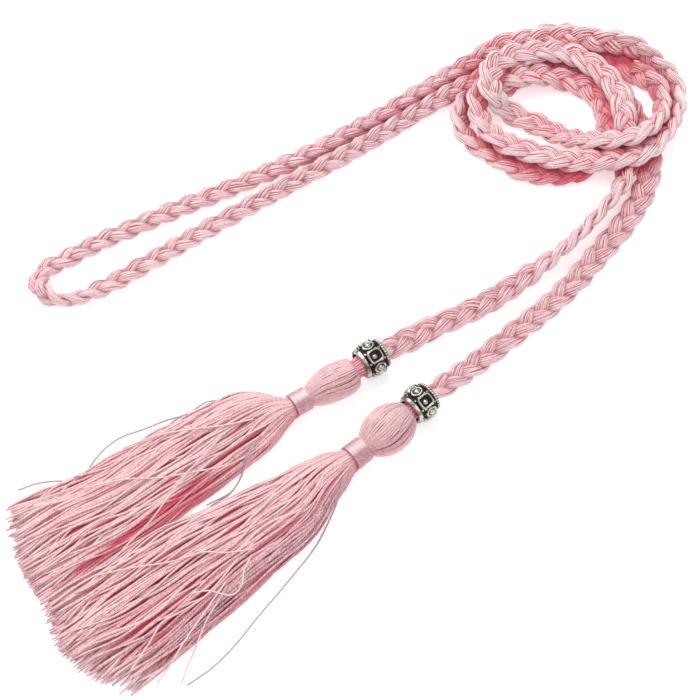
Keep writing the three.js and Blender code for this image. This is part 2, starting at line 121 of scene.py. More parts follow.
# Route of the middle of the braid on the laid plan, from bead 1 round to bead 2: x, y, z, turn in
# degrees and width. What a row leaves out is as in the row before. The route is the CAD source's,
# but lies flatter in the fold.
ROUTE = [
    # end 1
    (6.5, -7, 6.4, 0, 6), (11, -4, 6.1, 0, 6.2),
    # run 1
    (16, 0, 4.2, 0, 7.4), (21, 3.5, 2.5, 0, 8.4), (27.5, 7.5, 2.3, 0, 8.5), (35.5, 11.5), (44.5, 16.5),
    (54.5, 23.5, 2.6, -10), (60.5, 28, 3.1, -25), (67.5, 33.5, 3.9, -50), (74, 39.5, 4.2, -70),
    (80.5, 46.5, 4.3, -75), (86.5, 54, 4.2, -70), (91, 60, 4, -60), (93.5, 66.5, 3.4, -45),
    (94.5, 72, 2.8, -15),
    # middle 1
    (94.5, 77.5, 4.4, -5, 8.4), (94.5, 83, 6.3, -5, 8.5), (94, 89, 7.4), (92.5, 96.5, 8), (89.5, 102.5),
    (86, 107.5, 7.8, 0), (80.5, 112, 7.4), (75.5, 114.5, 7.7), (68, 114.5, 8.8), (61, 113, 9.9),
    (54.5, 110.5, 10.6, -5), (50, 106.5, 12.2, -20),
    # left 3
    (48, 102, 12.9, -30), (48, 97, 12.2, -25), (51, 93.5, 8.2, -10), (54.5, 92.5, 4, 0), (59.5, 90.5, 2.4),
    (65, 88, 2.3), (72.5, 83.5, 2.6, -5), (78, 80, 5.5, -15),
    # strand 1
    (84.5, 77.5, 8.7, -20), (92, 77, 10.1, -30), (98, 78.5, 10.8, -35), (103.5, 83.5, 9.3, -50),
    # outer 2
    (106.5, 89, 6.6, -60), (107.5, 96.5, 4.2, -65), (106.5, 102.5, 4.1), (103.5, 106, 4, -55),
    (99.5, 109, 3, -25), (96, 112, 2.3, 0), (91, 116.5), (86, 121.5), (79, 125.5), (71.5, 126.5),
    (64.5, 124.5),
    # run B
    (59, 118.5, 2.3, 0, 8), (54, 112.5, 2.3, -5, 7.6), (49, 109.5, 2.4, -5, 7.2), (42, 105.5, 2.4, -10, 7),
    (34.5, 101, 2.7, -20, 6.8), (27, 95.5, 2.9, -25, 6.6), (4, 79), (-16.5, 66, 2.6, -20),
    (-37, 53, 2.4, -5), (-56.5, 40, 2.3, 0), (-70.5, 30.5), (-82.5, 22.5, 2.5, 15), (-93.5, 17.5, 3.1, 60),
    (-99, 18, 3.4, 88, 7),
    # fold
    (-103, 21, 3.6, 115, 7.6), (-104, 24, 3.4, 135, 8), (-103.2, 27, 3.1, 150, 7.6),
    # run A
    (-101.2, 30, 2.7, 163, 7), (-97, 32.5, 2.5, 172, 6.7), (-86, 39.5, 2.3, 180, 6.6), (-58, 54),
    (-36, 64.5), (-11, 78), (0.5, 85.5), (13, 93.5), (22.5, 100.5, 2.3, 180, 6.8), (34.5, 109, 2.3, 180, 7),
    (42, 114, 2.4, 185, 7.2), (47, 117, 3.2, 190, 7.6), (51, 119, 5.2, 195, 8), (55.5, 119, 7.2, 200, 8.4),
    (61.5, 120, 7.5, 205, 8.5),
    # outer 1
    (68.5, 121.5, 6.4, 210), (74.5, 122, 6.8, 215), (80.5, 121, 7.6, 220), (87.5, 119, 8.7, 225),
    (95.5, 118, 8.3, 235), (101.5, 116, 6.4, 245), (106.5, 112, 4.4, 250), (110, 108.5, 4.2, 255),
    (113, 102), (113.5, 97), (112.5, 91.5), (110.5, 87, 4.9, 245), (108, 82, 7.2, 230),
    # strand 2
    (103.5, 76, 8, 210), (99, 72.5, 8.1, 195), (92, 71, 7.6, 185), (84.5, 70, 7.1, 180), (77, 70, 7.2),
    (70, 71), (62.5, 73.5), (56, 76), (51, 79, 6.9, 190),
    # left 2
    (47, 83.5, 6.6, 205), (45, 87, 6.8, 215), (44, 91, 7), (44.5, 96.5, 7.6, 205), (47, 100, 7.7, 190),
    # middle 2
    (50.5, 102, 7.5, 180), (55.5, 104, 7.6), (60, 105), (66, 106, 6.6), (73, 106, 4), (79, 104.5, 3, 190),
    (83, 102, 3.2, 200), (86, 98.5, 3.1, 200, 8.4), (88, 92.5, 2.6, 190), (88.5, 86.5, 2.4, 185, 8.5),
    (87, 80.5, 2.3, 180, 8.4), (85, 75),
    # strand 3
    (80.5, 71, 2.3, 180, 8.5), (75, 68.5), (67.5, 68), (60, 69), (53.5, 73), (47, 77, 2.6, 190),
    # left 1
    (41, 81, 3.3, 210), (38.5, 85, 3.7, 225), (37.5, 88, 3.9, 230), (38.5, 92.5, 3.8), (39.5, 96, 3.7, 225),
    (43, 97.5, 3, 205, 8.4), (48, 99.5, 2.7, 200, 7),
    # middle 3
    (54, 102.5, 2.6, 240, 5.4), (59, 105.5, 2.6, 285, 5), (64.5, 111, 2.6, 330, 5.8),
    (73, 114.5, 2.3, 360, 8.5), (80, 113.5, 2.3, 360, 8.4), (85.5, 110, 2.3, 360, 8.2), (89.5, 106.5),
    (94, 101, 2.3, 360, 8.4), (97, 94, 2.3, 360, 8.5), (99, 88), (101.5, 81),
    # run 2
    (102.5, 74, 2.5, 370), (101.5, 66.5), (98.5, 58, 2.3, 360), (94, 50), (89, 43), (82.5, 34.5),
    (77, 27.5), (70, 19.5), (61.5, 11.5), (51.5, 2.5), (42, -6, 2.5, 360, 8.3), (35.5, -12, 4, 360, 7.4),
    # end 2
    (30, -17, 5.6, 360, 6.4), (26.5, -20, 6.1, 360, 6.2), (22.5, -24, 6.4, 360, 6),
]

# Painted shade and light: where the coil's yarns are painted deeper and redder as shade, or paler
# with a negative share, and one place in the fold: place on the laid plan, reach and share.
SHADES = [
    (84, 119, 7, 0.5), (92, 115, 6, 0.6), (99, 111, 5, 0.5), (104.5, 101, 4, 0.6), (105, 94, 4, 0.55),
    (62, 103, 5, 0.4), (72, 104, 5, 0.4), (88, 88, 4, 0.4), (88, 73.5, 4, 0.6), (79, 74, 3, 0.5),
    (41.5, 92, 3.5, 0.5), (69, 65, 5, 0.6), (77, 66, 4.5, 0.7), (60, 66, 5, 0.4), (98.5, 69, 2.5, 0.8),
    (41, 111, 6, 0.3), (-100.5, 22.5, 2.6, 0.7), (48, 112, 5, 0.4), (60, 90, 7, -0.35), (51, 96, 5, -0.35),
    (38, 83, 5, -0.3), (114, 97, 5, -0.4), (103, 73, 4, -0.3), (66, 72, 7, -0.25), (94, 92, 5, -0.25),
]

# Beads, as in the CAD source: the middle on the plan, the direction of the hole and the turn about it.
BEADS = [
    ("bead_1", 6.9, -6.9, 34, 24),
    ("bead_2", 22.6, -23.6, 43, 28),
]
BEAD_SIDES = 256
BEAD_RINGS = 70
BEAD_LENGTH = 9.0
BEAD_HEIGHT = 6.3
HOLE_RADIUS = 3.9
# Distance along the hole from the bead's middle and the radius there, without the ornaments.
BEAD_OUTLINE = [
    (-4.5, 4.55), (-4.4, 4.9), (-4.1, 5.1), (-3.7, 5.25), (-3.35, 5.34), (-3.15, 5.3), (-3, 5.05),
    (-2.85, 4.95), (-2.2, 5.1), (-1.4, 5.5), (0, 5.7), (1.4, 5.6), (2.4, 5.3), (3, 5), (3.3, 4.85),
    (3.5, 4.9), (3.9, 4.98), (4.3, 4.92), (4.5, 4.7),
]
# The sunken band of the belly with the ornaments, along the hole.
BAND_MIDDLE = 0.15
BAND_HALF = 3.05
BAND_START = -2.9
BAND_STRETCH = 1.14
BAND_DEPTH = 0.12
# The ornaments: distances from the hole's axis and heights above them.
ORNAMENTS = 8
ORNAMENT_RADIUS = 5.9
GROUND_RADIUS = 5.3
FRAME_RISE = 1.05
RING_RISE = 0.85
KNOB_RADIUS = 5.4
DOME_RADIUS = 5.5
KNOB_RISE = 1.0
# The grains between them, and the notches in one rim.
BELLY_RADIUS = 5.7
GRAIN_PLACES = (1.3, 2.4)
GRAIN_SIZE = 0.55
GRAIN_RISE = 0.45
NOTCHES = 34
NOTCH_RISE = 0.26

# Tassels, as in the CAD source. A head's row is a distance from its top and the radius there; a
# skirt's row is a distance from the binding, both edges to the side, the top and the underside; a
# tip's row is the skirt's reach at a place to the side. Bow is how far the head's axis leaves the
# straight line, and its yarns go as far as neck into the bead, turn by slant on the way down, lie as
# unevenly as loose says and stand out by shoulder under the bead. Trim shortens the skirt, mauve
# paints its lower yarns mauve as painted shade, and a valley is a hollow in its top, whose yarns
# are painted in shade too.
TASSELS = [
    {
        "number": 1, "top": (1.1, -11.3, 6.2), "waist": (-19, -23.9, 4.7), "bow": (0, -0.4, 0.4),
        "head": [(0, 4.5), (1.2, 5), (4, 5.8), (8, 6.1), (12, 5.5), (15.2, 4.4), (17.2, 3.3), (23.9, 3.3)],
        "neck": 3.4, "heading": 212.8, "slant": 0.25, "shoulder": 0.9, "loose": 0.14, "trim": 3.6,
        "valley": True, "mauve": 0.0,
        "skirt": [
            (1.5, -3.6, 4.4, 8.2, 1.6), (5, -5, 9.2, 8.8, 0.4), (12, -7.6, 14.2, 8.6, 0),
            (24, -9.4, 16, 8, 0), (42, -12, 17.2, 7.2, 0), (62, -14, 16.8, 6.6, 0),
            (82, -13.6, 18.3, 5.8, 0), (104, -15.5, 19.5, 4.2, 0),
        ],
        "tips": [(103, -17.5), (104.5, -11), (104, -2), (102, 7), (96, 19)],
    },
    {
        "number": 2, "top": (18.7, -27.3, 6.4), "waist": (-0.6, -43.7, 5), "bow": (0.3, -0.9, 1.5),
        "head": [(0, 4.2), (2, 5.8), (5, 7.3), (9, 7.9), (13, 7.2), (16.2, 5.4), (18.4, 3.7), (25.1, 3.7)],
        "neck": 3, "heading": 219.3, "slant": -0.2, "shoulder": 0.3, "loose": 0.06, "trim": 2.2,
        "valley": False, "mauve": 0.9,
        "skirt": [
            (1.5, -4.2, 4.8, 9, 1.6), (5, -5.8, 7, 9.4, 0.4), (12, -8, 9, 9.4, 0),
            (24, -12.8, 11.4, 8.8, 0), (42, -15.4, 15, 8, 0), (62, -17.4, 19.2, 7, 0),
            (84, -18.4, 21.6, 6.2, 0), (111, -19.5, 23, 4.2, 0),
        ],
        "tips": [(100, -19.5), (107, -11), (110.5, -2), (111, 8), (106, 22.5)],
    },
]
# Open gaps between the yarns of a skirt's top: the distance and side where each starts, those where
# it ends, and half its width.
GAPS = {
    1: [(13, -3.6, 38, -4.9, 0.8), (18, 3, 29, 3.6, 0.4), (33, -0.9, 48, -0.4, 0.4),
        (60, 4, 80, 6.5, 0.35), (26, 9, 44, 10, 0.3), (52, -3, 72, -4.4, 0.35)],
    2: [(46, -4.8, 60, -3.6, 0.5), (68, -7.8, 86, -9.6, 0.8), (66, -1.5, 86, -2, 0.4),
        (70, 8, 91, 10.4, 0.35), (30, 2, 46, 4, 0.35), (24, -8, 44, -11.5, 0.4),
        (56, 5.6, 70, 6.6, 0.3)],
}
# Single yarns that lie apart: (distance, side, height) in millimetres from the surface.
STRAYS = {
    1: [
        [(20, 14.5, 2), (25, 17, 1.2), (29, 18, 0.4), (36, 19.9, 0.3), (43, 20.9), (52, 22.4), (59, 21.3),
         (67, 17.6, 0.6)],
        [(30, 15, 2), (37, 17.6, 0.8), (47, 17.9, 0.4), (55, 17.4), (64, 16.2, 0.6)],
        [(70, 14.5, 2.5), (74, 17.4, 0.8), (78, 20.4, 0.3), (83, 22.6), (89, 23.7)],
        [(18, -6, 3), (23, -8.8, 1.4), (26, -11, 0.4), (29, -12.8, 0.3), (33, -14.4), (40, -14.8, 0.5)],
        [(17, -5.6, 3.2), (22, -8.4, 1.6), (25, -10.4, 0.5), (28, -12.2, 0.3), (32, -14), (41, -14, 0.9)],
        [(26, 1, 8.6), (34, -1.6, 8.5), (42, -4.2, 8.3), (50, -7.4, 7.8), (60, -11.6, 6.2), (70, -14.2, 5),
         (79, -16.6, 4.4), (84, -16, 3.6)],
        [(14, 0.5, 9), (23, 3.7), (33, 8.8, 8.2), (43, 13.6, 6.2), (54, 16.2, 4.4)],
        [(28, -8.4, 6.6), (34, -7, 7.6), (42, -4, 8.1), (50, -0.9, 8), (61, 5.6, 7.3), (72, 9.6, 6.6)],
    ],
    2: [
        [(4, -4.5, 3), (10, -7.4, 0.6), (18, -11.8, 0.3), (26, -15.6), (42, -20), (57, -23.6), (67, -26.3),
         (78, -27.9), (87, -27.6)],
        [(58, -11, 6.4), (64, -13.6, 6), (69, -15.4, 5.2), (75, -18.6, 2.6), (79, -20.6, 0.5),
         (83, -22.6, 0.3), (88, -26)],
        [(46, -8.4, 8.6), (51, -10.9), (54, -13.8, 8), (57, -15.2, 7.2), (60, -14.6, 7.4), (62, -12.2, 7.9),
         (64, -9.5, 8.2), (69, -6.6, 8)],
        [(44, -7.4, 8.8), (52, -2.6, 8.7), (57, 1.9, 8.4), (67, 6.2, 7.6), (77, 12.4, 6.6), (88, 18.6, 5)],
        [(50, -6.6, 8.6), (62, -9.6, 8.1), (68, -10.2, 7.8), (75, -9.5, 7.6), (82, -8.6, 7.2),
         (88, -11, 6.8), (99, -14.8, 5.6)],
        [(58, -10.4, 8), (69, -13.9, 6.8), (79, -17, 5.4), (87, -19.8, 3), (94, -21.6, 0.8)],
    ],
}


def smooth(low, high, value):
    """Smooth step of value between low and high."""
    t = np.clip((value - low) / (high - low), 0, 1)
    return t * t * (3 - 2 * t)


def unit(vectors):
    """The vectors at length 1."""
    return vectors / np.linalg.norm(vectors, axis=-1, keepdims=True)


def wave(place, length, rng, count=3):
    """Smooth noise of about -1 to 1 along a place, with the given typical wavelength."""
    total = np.zeros_like(place)
    for _ in range(count):
        size = length * (0.6 + 0.9 * rng.random())
        total = total + np.sin(2 * np.pi * (place / size + rng.random())) / count ** 0.5
    return 0.8 * total


def waves(number, place, length, rng, count=3):
    """That noise once for each of a number of yarns."""
    return np.array([wave(place, length, rng, count) for _ in range(number)])


def filled(rows):
    """The rows of a table in which what a row leaves out is as in the row before."""
    full = [rows[0]]
    for row in rows[1:]:
        full.append((*row, *full[-1][len(row):]))
    return full


def route_curve(rows, fine=12):
    """Points of the centripetal Catmull-Rom curve through rows, whose other columns run evenly."""
    rows = np.array(rows, float)
    points = rows[:, :3]
    ends = np.vstack([2 * points[0] - points[1], points, 2 * points[-1] - points[-2]])
    out = []
    for i in range(len(points) - 1):
        p0, p1, p2, p3 = ends[i:i + 4]
        d0, d1, d2 = [np.linalg.norm(b - a) ** 0.5 for a, b in ((p0, p1), (p1, p2), (p2, p3))]
        m1 = ((p1 - p0) / d0 - (p2 - p0) / (d0 + d1) + (p2 - p1) / d1) * d1
        m2 = ((p2 - p1) / d1 - (p3 - p1) / (d1 + d2) + (p3 - p2) / d2) * d1
        t = np.linspace(0, 1, fine, endpoint=False)[:, None]
        place = ((2 * t ** 3 - 3 * t ** 2 + 1) * p1 + (t ** 3 - 2 * t ** 2 + t) * m1
                 + (3 * t ** 2 - 2 * t ** 3) * p2 + (t ** 3 - t ** 2) * m2)
        rest = (1 - t) * rows[i, 3:] + t * rows[i + 1, 3:]
        out.append(np.hstack([place, rest]))
    out.append(rows[-1:])
    return np.vstack(out)


def resample(curve, step):
    """Arc lengths along a curve in equal steps, and its points there."""
    along = np.concatenate([[0], np.cumsum(np.linalg.norm(np.diff(curve[:, :3], axis=0), axis=1))])
    count = int(round(along[-1] / step))
    at = np.linspace(0, along[-1], count + 1)
    return at, np.stack([np.interp(at, along, column) for column in curve.T], -1)


def curve_at(rows, places):
    """The other columns of the smooth curve through rows, at places in the first, which rises."""
    first, *others = np.array(rows, float).T
    curves = [route_curve(np.stack([first, column, 0 * first], -1)) for column in others]
    return [np.interp(places, curve[:, 0], curve[:, 1]) for curve in curves]


def add_object(name, data):
    """A new object in the scene."""
    obj = bpy.data.objects.new(name, data)
    bpy.context.scene.collection.objects.link(obj)
    return obj


def mesh_object(name, material, verts, faces, fields=None):
    """A mesh object from vertices in metres and a list of arrays of faces, one array a face size."""
    mesh = bpy.data.meshes.new(name)
    mesh.vertices.add(len(verts))
    mesh.vertices.foreach_set("co", np.ascontiguousarray(verts, np.float32).ravel())
    loops = np.concatenate([f.ravel() for f in faces]).astype(np.int32)
    sizes = np.concatenate([np.full(len(f), f.shape[1]) for f in faces])
    starts = np.concatenate([[0], np.cumsum(sizes)[:-1]]).astype(np.int32)
    mesh.loops.add(len(loops))
    mesh.loops.foreach_set("vertex_index", loops)
    mesh.polygons.add(len(starts))
    mesh.polygons.foreach_set("loop_start", starts)
    mesh.polygons.foreach_set("use_smooth", np.ones(len(starts), bool))
    mesh.update(calc_edges=True)
    mesh.validate()
    for field, values in (fields or {}).items():
        kind, key = ("FLOAT_VECTOR", "vector") if values.ndim == 2 else ("FLOAT", "value")
        data = mesh.attributes.new(field, kind, "POINT").data
        data.foreach_set(key, np.ascontiguousarray(values, np.float32).ravel())
    mesh.materials.append(material)
    return add_object(name, mesh)


def band(index, reverse=False):
    """Quads between neighbouring rows of a grid of vertices, closed round each row."""
    a, b = index[..., :-1, :], index[..., 1:, :]
    corners = [a, np.roll(a, -1, -1), np.roll(b, -1, -1), b]
    if reverse:
        corners = corners[:1] + corners[:0:-1]
    return np.stack(corners, -1).reshape(-1, 4)


def closed_rings(points, along, angle, tint, painted_light_and_wear, reverse=False):
    """Closed shapes from rings of points in millimetres: vertices in metres, faces and fields.

    The field yarn holds the length along the shape in metres and the cosine and sine of the angle
    round it.
    """
    shape = points.shape[:-1]
    index = np.arange(math.prod(shape)).reshape(shape)
    first, last = np.atleast_2d(index[..., 0, :]), np.atleast_2d(index[..., -1, :])
    caps = [first, last[:, ::-1]] if reverse else [first[:, ::-1], last]
    columns = (along[..., None] * MM, np.cos(angle), np.sin(angle), tint, painted_light_and_wear)
    columns = [np.broadcast_to(column, shape).ravel() for column in columns]
    fields = {"yarn": np.stack(columns[:3], -1), "tint": columns[3], "painted_light_and_wear": columns[4]}
    return points.reshape(-1, 3) * MM, [band(index, reverse), np.concatenate(caps)], fields


def outward(angle, level, rise):
    """Directions at angles in the plane of level and rise."""
    return np.cos(angle)[:, None] * level + np.sin(angle)[:, None] * rise


def circle(sides):
    """The angles of the corners of a ring."""
    return 2 * np.pi * np.arange(sides) / sides


def tubes(paths, radii, ups, sides, tint, painted_light_and_wear):
    """Many tubes along paths, which are by tube and ring, in millimetres.

    Each of the others is by tube and ring too, or one for all. Tint may also be by tube.
    """
    count, rings, _ = paths.shape
    radii, painted_light_and_wear = [np.broadcast_to(value, (count, rings)) for value in (radii, painted_light_and_wear)]
    way = unit(np.gradient(paths, axis=1))
    side = unit(np.cross(ups, way))
    up = np.cross(way, side)
    angle = np.pi / 2 + circle(sides)
    points = paths[:, :, None] + radii[..., None, None] * outward(angle, side[:, :, None], up[:, :, None])
    steps = np.linalg.norm(np.diff(paths, axis=1), axis=2)
    along = np.concatenate([np.zeros((count, 1)), np.cumsum(steps, axis=1)], 1)
    return closed_rings(points, along, angle, np.reshape(tint, (count, -1, 1)), painted_light_and_wear[..., None])


def join_parts(parts):
    """Several results of tubes or closed_rings as one."""
    verts, faces, fields, first = [], [], {}, 0
    for part_verts, part_faces, part_fields in parts:
        verts.append(part_verts)
        faces += [f + first for f in part_faces]
        for key, values in part_fields.items():
            fields.setdefault(key, []).append(values)
        first += len(part_verts)
    return np.vstack(verts), faces, {key: np.concatenate(values) for key, values in fields.items()}


def set_camera():
    """The photo's camera: from the tassels' side, 60 degrees up and 1 m from the plan's zero."""
    camera = add_object("camera", bpy.data.cameras.new("camera"))
    camera.location = (np.array([0.0, -500.0, 866.03]) - PLAN_MIDDLE) * MM
    camera.rotation_euler = (math.radians(30), 0, 0)
    camera.data.sensor_width = 36
    camera.data.lens = 155.83
    camera.data.clip_start = 0.05
    camera.data.clip_end = 20
    bpy.context.scene.camera = camera


class Nodes:
    """Short way to add nodes to a tree and link them."""

    def __init__(self, tree):
        self.tree = tree

    def node(self, kind, **settings):
        node = self.tree.nodes.new("ShaderNode" + kind)
        for key, value in settings.items():
            setattr(node, key, value)
        return node

    def plug(self, socket, value):
        if hasattr(value, "links"):
            self.tree.links.new(value, socket)
        else:
            socket.default_value = value

    def attribute(self, name, output="Fac"):
        return self.node("Attribute", attribute_type="GEOMETRY", attribute_name=name).outputs[output]

    def place(self, output="Object"):
        return self.node("TexCoord").outputs[output]

    def parts(self, vector):
        node = self.node("SeparateXYZ")
        self.plug(node.inputs[0], vector)
        return node.outputs

    def math(self, operation, a, b=0.0, c=0.0):
        node = self.node("Math", operation=operation)
        for socket, value in zip(node.inputs, (a, b, c)):
            self.plug(socket, value)
        return node.outputs[0]

    def times(self, a, b, plus=0.0):
        return self.math("MULTIPLY_ADD", a, b, plus)

    def mix(self, factor, a, b):
        node = self.node("Mix", data_type="RGBA")
        self.plug(node.inputs["Factor"], factor)
        for socket, value in ((node.inputs[6], a), (node.inputs[7], b)):
            self.plug(socket, value if hasattr(value, "links") else (*value, 1.0))
        return node.outputs[2]

    def ramp(self, value, low, high, start=0.0, stop=1.0):
        node = self.node("MapRange", interpolation_type="SMOOTHSTEP")
        for socket, number in zip(node.inputs, (value, low, high, start, stop)):
            self.plug(socket, number)
        return node.outputs["Result"]

    def noise(self, vector, scale, detail=2.0):
        node = self.node("TexNoise")
        for key, value in (("Vector", vector), ("Scale", scale), ("Detail", detail)):
            self.plug(node.inputs[key], value)
        return node.outputs["Fac"]


class Surface(Nodes):
    """The nodes of a new material and its shader."""

    def __init__(self, name):
        self.material = bpy.data.materials.new(name)
        self.material.use_nodes = True
        super().__init__(self.material.node_tree)
        self.tree.nodes.clear()
        out = self.node("OutputMaterial")
        self.shader = self.node("BsdfPrincipled")
        self.plug(out.inputs["Surface"], self.shader.outputs[0])

    def bump(self, height, strength, distance):
        node = self.node("Bump")
        for key, value in (("Height", height), ("Strength", strength), ("Distance", distance)):
            self.plug(node.inputs[key], value)
        self.set(Normal=node.outputs[0])

    def set(self, **values):
        for key, value in values.items():
            self.plug(self.shader.inputs[key.replace("_", " ")], value)


def linear(r, g, b):
    """sRGB from 0 to 255 as linear light."""
    return tuple(((c / 255 + 0.055) / 1.055) ** 2.4 if c > 10 else c / 3294 for c in (r, g, b))


def yarn_material(name, pale, mid, deep, turns, rough=0.5, twist=0.2, grit=1.4, shade=(0.3, 0.12, 0.17)):
    """Yarn of two twisted plies, ridged by its twist, with a painted highlight on its crest and painted
    shade deeper inside the bundle.

    Turns are the twist's in a metre. A tint of 0 to 1 runs from pale to pink yarn, up to 2 to a
    mauve one, which serves as painted shade, and up to 3 to a dull one. The painted light is 1 in
    the open, above which the yarn is painted paler, and 0 deep inside, where it is painted in shade:
    mauve yarn with the shade colour and other yarn with the deep colour.
    """
    mauve, pale_mauve, dull = linear(150, 92, 108), linear(212, 184, 192), linear(186, 175, 181)
    n = Surface(name)
    along, cos, sin = n.parts(n.attribute("yarn", "Vector"))
    tint, painted_light_and_wear, place = n.attribute("tint"), n.attribute("painted_light_and_wear"), n.place()
    opened = n.ramp(painted_light_and_wear, 0.0, 1.0)

    # Each yarn starts its twist and its grain elsewhere, by its tint.
    phase = n.times(along, 2 * math.pi * turns, n.times(tint, 37.0, n.math("ARCTAN2", sin, cos)))
    phase = n.times(n.noise(place, 420.0), 5.0, phase)
    ridge = n.times(n.math("SINE", n.times(phase, 2.0)), 0.5, 0.5)
    spot = n.node("CombineXYZ")
    for socket, value in zip(spot.inputs, (n.times(along, 1300.0), cos, n.times(tint, 57.0, sin))):
        n.plug(socket, value)
    grain = n.noise(spot.outputs[0], 1.0)
    fleck = n.noise(place, 1500.0, 3.0)

    # Painted highlight: the crest, the side of a yarn that faces up or out, is paler, less so on pink yarn,
    # and the twist's ridges are painted lighter and darker.
    crest = n.times(n.ramp(sin, 0.1, 1.0), n.times(n.math("MINIMUM", tint, 1.0), -0.7, 1.0))
    crest = n.math("ADD", crest, n.times(n.noise(place, 60.0), -0.36, 0.18))
    crest = n.times(ridge, twist, crest)
    crest = n.math("ADD", crest, n.times(grain, grit, -grit / 2))

    # Painted shade: the sides away from the crest take the mid colour, on mauve yarn a mauve one; where the
    # painted light is low the yarn takes the deep colour, mauve yarn the shade colour.
    cool = n.ramp(tint, 0.9, 2.1)
    low = n.mix(n.times(cool, 0.9), mid, mauve)
    high = n.mix(n.times(cool, 0.5), pale, pale_mauve)
    outside = n.mix(crest, low, high)
    # Pale flecks are painted glints of the fibres, and painted light above 1 makes the yarn paler.
    outside = n.mix(n.times(n.ramp(fleck, 0.52, 0.72), 0.6), outside, high)
    outside = n.mix(n.ramp(painted_light_and_wear, 1.0, 2.0), outside, high)
    inside = n.mix(n.times(cool, 0.85), deep, shade)
    inside = n.mix(n.times(crest, 0.4), inside, mid)
    colour = n.mix(opened, inside, outside)
    colour = n.mix(n.times(n.ramp(tint, 2.2, 3.0), 0.8), colour, dull)

    n.bump(n.times(fleck, 0.6, ridge), 0.5, 0.00011)
    # A faint glow in the yarn's own colour lifts its shadows, as painted light. Sheen and specular fade
    # where the painted light is low.
    n.set(Base_Color=colour, Roughness=rough, Specular_IOR_Level=n.times(opened, 0.4, 0.05),
          Sheen_Weight=n.times(opened, 0.3), Sheen_Roughness=0.4, Emission_Color=colour,
          Emission_Strength=0.028)
    return n.material


def metal_material(name):
    """Cast silvery metal, dark in the hollows and polished on what stands out."""
    n = Surface(name)
    place = n.place()
    worn = n.math("ADD", n.attribute("painted_light_and_wear"), n.times(n.noise(place, 900.0, 4.0), 0.5, -0.3))
    worn = n.math("ADD", worn, n.times(n.noise(place, 260.0), 1.1, -0.6))
    polish = n.ramp(worn, 0.34, 0.92)
    n.bump(n.noise(place, 1100.0, 3.0), 0.3, 0.00025)
    n.set(Base_Color=n.mix(polish, (0.035, 0.032, 0.028), (0.58, 0.55, 0.5)), Metallic=1.0,
          Roughness=n.times(polish, -0.3, 0.5))
    return n.material


def floor_material():
    """White paper, lit a little from inside so that the shadows on it stay faint."""
    n = Surface("floor_white")
    n.set(Base_Color=n.mix(n.noise(n.place(), 3.0), (0.93, 0.93, 0.93), (0.95, 0.95, 0.95)),
          Roughness=0.9, Specular_IOR_Level=0.1, Emission_Color=(1, 1, 1, 1), Emission_Strength=0.42)
    return n.material


# The laid braid by its rings: arc length, middle, direction across it and out of its face, width,
# phase of its crossings and whether it is in the coil.
Laid = namedtuple("Laid", "along centre across upward width phase coiled")


def lay_braid():
    """The braid along its route, in millimetres."""
    along, rows = resample(route_curve(filled(ROUTE)), STRAND_STEP)
    centre = rows[:, :3] - PLAN_MIDDLE
    way = unit(np.gradient(centre, axis=0))
    level = unit(np.stack([-way[:, 1], way[:, 0], np.zeros(len(way))], -1))
    rise = np.cross(way, level)
    turn = np.radians(rows[:, 3])[:, None]
    across = np.cos(turn) * level + np.sin(turn) * rise
    upward = -np.sin(turn) * level + np.cos(turn) * rise
    from_end = np.minimum(along, along[-1] - along)
    in_coil = smooth(RUN_LENGTH - PITCH_CHANGE, RUN_LENGTH + PITCH_CHANGE, from_end)
    pitch = RUN_PITCH + (COIL_PITCH - RUN_PITCH) * in_coil
    rng = np.random.default_rng(90)
    rate = 2 * np.pi / (3 * pitch) * (1 + 0.1 * wave(along, 34.0, rng))
    width = rows[:, 4] + WIDER_BY_BEAD * smooth(4.5, 9, from_end) * smooth(28, 14, from_end)
    phase = np.concatenate([[0], np.cumsum((rate[1:] + rate[:-1]) / 2 * np.diff(along))])
    coiled = smooth(*COIL_X, centre[:, 0]) * smooth(*COIL_Y, centre[:, 1])
    return Laid(along, centre, across, upward, width, phase, coiled)


def beside_turns(points, laid):
    """How near points of the braid, by rings, are to another turn, and how far one lies over them."""
    apart = np.abs(laid.along[:, None] - laid.along[None]) > TURN_APART
    near = np.full(points.shape[:2], 99.0)
    under = np.zeros(points.shape[:2])
    for i in range(points.shape[0]):
        gap = points[i][:, None] - laid.centre[None]
        near[i] = np.where(apart, np.linalg.norm(gap, axis=2), 99.0).min(1)
        level = np.hypot(gap[..., 0], gap[..., 1])
        under[i] = np.where(apart, smooth(8.5, 4.0, level) * smooth(0.5, 3.0, -gap[..., 2]), 0).max(1)
    return near, under


def shade_at(points):
    """Painted shade at the points by the table of shades, most on low turns; negative shares paint paler.
    """
    flat = points[..., :2] + PLAN_MIDDLE[:2]
    low = 0.3 + 0.7 * smooth(7.5, 4.5, points[..., 2])
    total = np.zeros(points.shape[:-1])
    for x, y, reach, share in SHADES:
        total += share * np.exp(-((flat - (x, y)) ** 2).sum(-1) / reach ** 2) * (low if share > 0 else 1)
    return np.clip(total, -0.5, 0.85)


def strand_shape(laid, number):
    """A strand by its rings: the middle, its directions across and out, half its width and thickness."""
    theta = laid.phase + 2 * np.pi * number / 3
    share = (laid.width / BRAID_WIDE)[:, None]
    swing = STRAND_SWING * np.sin(theta)[:, None] * share
    lift = -STRAND_LIFT * np.sin(2 * theta)[:, None]
    middle = laid.centre + laid.across * swing + laid.upward * lift
    way = unit(np.gradient(middle, axis=0))
    wide = unit(np.cross(laid.upward, way))
    at_edge = np.sin(theta)[:, None] ** 4
    half_wide = (STRAND_HALF_WIDE - EDGE_NARROWER * at_edge) * share
    half_thick = STRAND_HALF_THICK + EDGE_THICKER * at_edge
    return middle, wide, np.cross(way, wide), half_wide, half_thick


